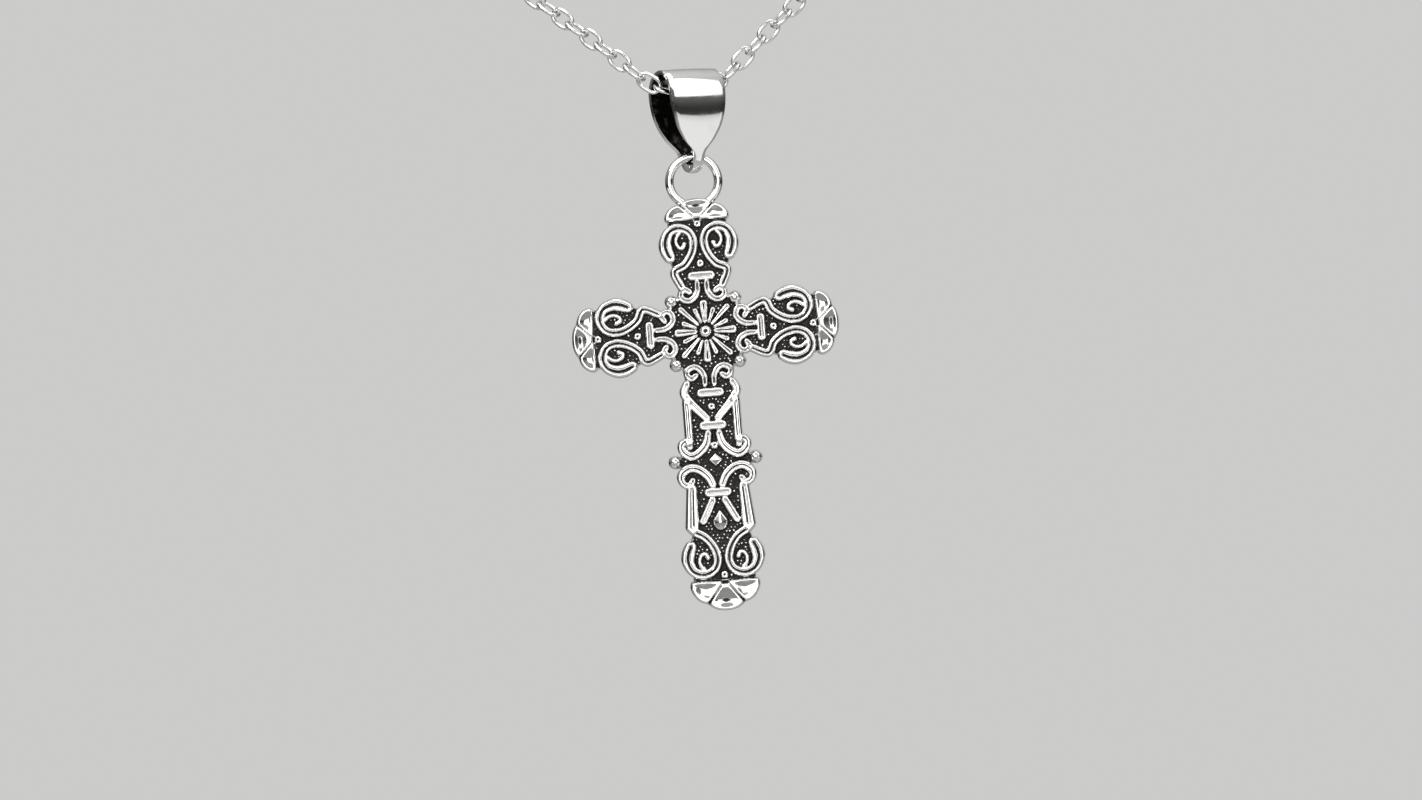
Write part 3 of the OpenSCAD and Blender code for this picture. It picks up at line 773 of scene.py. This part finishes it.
class Value:
    """A node socket that takes part in sums and products."""

    def __init__(self, finish, socket):
        self.finish, self.socket = finish, socket

    def maths(self, operation, *values):
        return self.finish.node("ShaderNodeMath", {"operation": operation}, dict(enumerate(values)))

    def __add__(self, other):
        return self.maths("ADD", self, other)

    def __sub__(self, other):
        return self.maths("SUBTRACT", self, other)

    def __rsub__(self, other):
        return self.maths("SUBTRACT", other, self)

    def __mul__(self, other):
        return self.maths("MULTIPLY", self, other)

    __radd__ = __add__
    __rmul__ = __mul__


class Finish:
    """The nodes of one material or world."""

    def __init__(self, owner):
        self.owner = owner
        owner.use_nodes = True
        self.tree = owner.node_tree
        self.tree.nodes.clear()

    def node(self, kind, settings, inputs, output=0):
        """Adds a node, sets it, then fills its sockets with numbers, colours or other nodes' values."""
        made = self.tree.nodes.new(kind)
        for name, setting in settings.items():
            if name == "stops":
                ramp = made.color_ramp
                while len(ramp.elements) < len(setting):
                    ramp.elements.new(0.5)
                for element, (place, colour) in zip(ramp.elements, setting):
                    element.position, element.color = place, colour
            else:
                setattr(made, name, setting)
        for name, value in inputs.items():
            socket = made.inputs[name]
            if isinstance(value, Value):
                self.tree.links.new(value.socket, socket)
            else:
                socket.default_value = value
        return Value(self, made.outputs[output]) if made.outputs else None

    def place(self):
        return self.node("ShaderNodeTexCoord", {}, {}, "Object")

    def noise(self, size_mm, detail=3, roughness=0.5, stretch=(1, 1, 1)):
        """Noise whose spots are about that many millimetres across."""
        at = self.node("ShaderNodeMapping", {}, {"Vector": self.place(), "Scale": stretch})
        return self.node("ShaderNodeTexNoise", {}, {
            "Vector": at, "Scale": 1 / (size_mm * MM), "Detail": detail, "Roughness": roughness}, "Fac")

    def between(self, value, low, high, start=0, end=1):
        return self.node("ShaderNodeMapRange", {"interpolation_type": "SMOOTHSTEP"}, {
            "Value": value, "From Min": low, "From Max": high, "To Min": start, "To Max": end})

    def mixed(self, share, first, second):
        return self.node("ShaderNodeMix", {"data_type": "RGBA"}, {0: share, 6: first, 7: second}, 2)

    def bump(self, height, distance_mm, strength=1):
        return self.node("ShaderNodeBump", {}, {
            "Height": height, "Distance": distance_mm * MM, "Strength": strength})

    def surface(self, inputs):
        shader = self.node("ShaderNodeBsdfPrincipled", {}, inputs)
        self.node("ShaderNodeOutputMaterial", {}, {"Surface": shader})
        return self.owner


def new_finish(name):
    return Finish(bpy.data.materials.new(name))


def antiqued_silver():
    """Polished high points and blackened recesses, with fine handling marks and cast grain."""
    f = new_finish("antiqued_silver")
    mark = f.node("ShaderNodeAttribute", {"attribute_name": "blackening"}, {}, "Fac")
    cloud = f.noise(1.1, 4, 0.6)
    grain = f.noise(0.16, 3, 0.6)
    black = f.between(mark + (cloud - 0.5) * 0.3 + (grain - 0.5) * 0.25, 0.35, 0.7)
    haze = f.between(cloud, 0.5, 0.8, 0, 0.2)
    bright = f.mixed(haze * (1 - black), SILVER, TARNISH_AND_PAINTED_SHADE)
    scratches = f.noise(0.09, 2, 0.7, (1, 1, 0.12))
    return f.surface({
        "Base Color": f.mixed(black, bright, OXIDE_AND_PAINTED_SHADE),
        "Metallic": 1 - black * 0.55,
        "Roughness": f.between(grain, 0.3, 0.75, 0.1, 0.15) + black * 0.3,
        "Normal": f.bump(grain * black + scratches * 0.04, 0.02, 0.5),
    })


def polished_silver():
    """The polished silver of the bail and the ring, with faint wiping marks."""
    f = new_finish("polished_silver")
    smear = f.noise(2.2, 3, 0.5, (1, 1, 0.35))
    scratches = f.noise(0.12, 2, 0.7, (1, 1, 0.1))
    return f.surface({
        "Base Color": f.mixed(f.between(smear, 0.5, 0.85, 0, 0.2), SILVER, TARNISH_AND_PAINTED_SHADE),
        "Metallic": 1,
        "Roughness": f.between(smear, 0.3, 0.7, 0.05, 0.12),
        "Normal": f.bump(scratches, 0.004, 0.3),
    })


def painted_shade_silver():
    """The inside of the bail, painted dark as shade and as a dark reflection, in cloudy patches."""
    f = new_finish("painted_shade_silver")
    cloud = f.noise(0.9, 4, 0.6)
    # painted shade and painted dark reflection: the inside of the bail is coloured near black in cloudy
    # patches
    black = f.between(cloud, 0.25, 0.5)
    return f.surface({
        "Base Color": f.mixed(black, TARNISH_AND_PAINTED_SHADE, OXIDE_AND_PAINTED_SHADE),
        "Metallic": 0.9,
        "Roughness": f.between(cloud, 0.3, 0.7, 0.25, 0.45),
        "Normal": f.bump(f.noise(0.2), 0.01, 0.4),
    })


def chain_silver():
    """Bright drawn wire with a trace of tarnish."""
    f = new_finish("chain_silver")
    cloud = f.noise(0.8, 3, 0.6)
    return f.surface({
        "Base Color": f.mixed(f.between(cloud, 0.5, 0.75, 0, 0.35), SILVER, TARNISH_AND_PAINTED_SHADE),
        "Metallic": 1,
        "Roughness": f.between(cloud, 0.3, 0.75, 0.16, 0.26),
        "Normal": f.bump(f.noise(0.3), 0.003, 0.4),
    })


def back_silver():
    """The plain back, rubbed with fine grit up and down."""
    f = new_finish("back_silver")
    lines = f.noise(0.1, 3, 0.7, (1, 1, 0.05))
    cloud = f.noise(4, 3, 0.5)
    return f.surface({
        "Base Color": f.mixed(f.between(cloud, 0.4, 0.8, 0.05, 0.45), SILVER, TARNISH_AND_PAINTED_SHADE),
        "Metallic": 1,
        "Roughness": f.between(lines, 0.3, 0.7, 0.24, 0.36),
        "Normal": f.bump(lines, 0.01, 0.6),
    })


# Setting

def pale_floor():
    """A plain matt floor far under the pendant."""
    bm = bmesh.new()
    bmesh.ops.create_circle(bm, cap_ends=True, segments=96, radius=FLOOR_R,
                            matrix=Matrix.Translation(FLOOR_AT))
    mesh = bpy.data.meshes.new("floor")
    bm.to_mesh(mesh)
    bm.free()
    f = new_finish("floor_paint")
    mesh.materials.append(f.surface({"Base Color": (0.82, 0.82, 0.81, 1), "Roughness": 0.8}))
    floor = bpy.data.objects.new("floor", mesh)
    bpy.context.scene.collection.objects.link(floor)


def soft_light(name, place, size, watts):
    """A bright panel turned towards the pendant."""
    light = bpy.data.lights.new(name, "AREA")
    light.shape, light.size, light.size_y = "RECTANGLE", *size
    light.energy = watts
    lamp = bpy.data.objects.new(name, light)
    lamp.location = place
    lamp.rotation_euler = (Vector(PENDANT) - Vector(place)).to_track_quat("-Z", "Y").to_euler()
    bpy.context.scene.collection.objects.link(lamp)


def studio():
    """A pale room that the camera sees, and a darker one that the silver mirrors."""
    world = bpy.data.worlds.new("studio")
    bpy.context.scene.world = world
    f = Finish(world)
    seen = f.node("ShaderNodeLightPath", {}, {}, "Is Camera Ray")
    up = f.node("ShaderNodeSeparateXYZ", {}, {"Vector": f.node("ShaderNodeTexCoord", {}, {}, "Generated")}, 2)
    mirrored = f.node("ShaderNodeValToRGB", {"stops": ROOM}, {"Fac": up * 0.5 + 0.5})
    pale = f.node("ShaderNodeBackground", {}, {"Color": BACKDROP, "Strength": 1})
    room = f.node("ShaderNodeBackground", {}, {"Color": mirrored, "Strength": 1})
    both = f.node("ShaderNodeMixShader", {}, {0: seen, 1: room, 2: pale})
    f.node("ShaderNodeOutputWorld", {}, {"Surface": both})


def camera():
    """A long lens straight in front, rolled as the photograph was taken."""
    lens = bpy.data.cameras.new("camera")
    lens.lens, lens.sensor_width = 120, 36
    lens.clip_start = 0.01
    eye = bpy.data.objects.new("camera", lens)
    bpy.context.scene.collection.objects.link(eye)
    distance = PICTURE_W * PIXEL * MM / 2 / math.tan(lens.angle / 2)
    place = Matrix.Translation(Vector(LOOK) - Vector((0, distance, 0)))
    upright = Matrix.Rotation(math.radians(90), 4, "X")
    eye.matrix_world = place @ upright @ Matrix.Rotation(-math.radians(ROLL), 4, "Z")
    bpy.context.scene.camera = eye


# The pendant and its setting are put together

camera()
cross_casting(antiqued_silver(), back_silver())
polished = polished_silver()
soldered_ring(polished)
bail_strip(polished, painted_shade_silver())
drawn_wire = chain_silver()
joints = chain_joints()
middle = middle_link(joints)
chain_half("chain_left_links", "chain_left", joints, range(middle), drawn_wire)
chain_half("chain_right_links", "chain_right", joints, range(middle, len(joints) - 1), drawn_wire)
closing_link(joints, drawn_wire)
pale_floor()
studio()
for light in LIGHTS:
    soft_light(*light)
bpy.context.scene.view_settings.view_transform = "Standard"
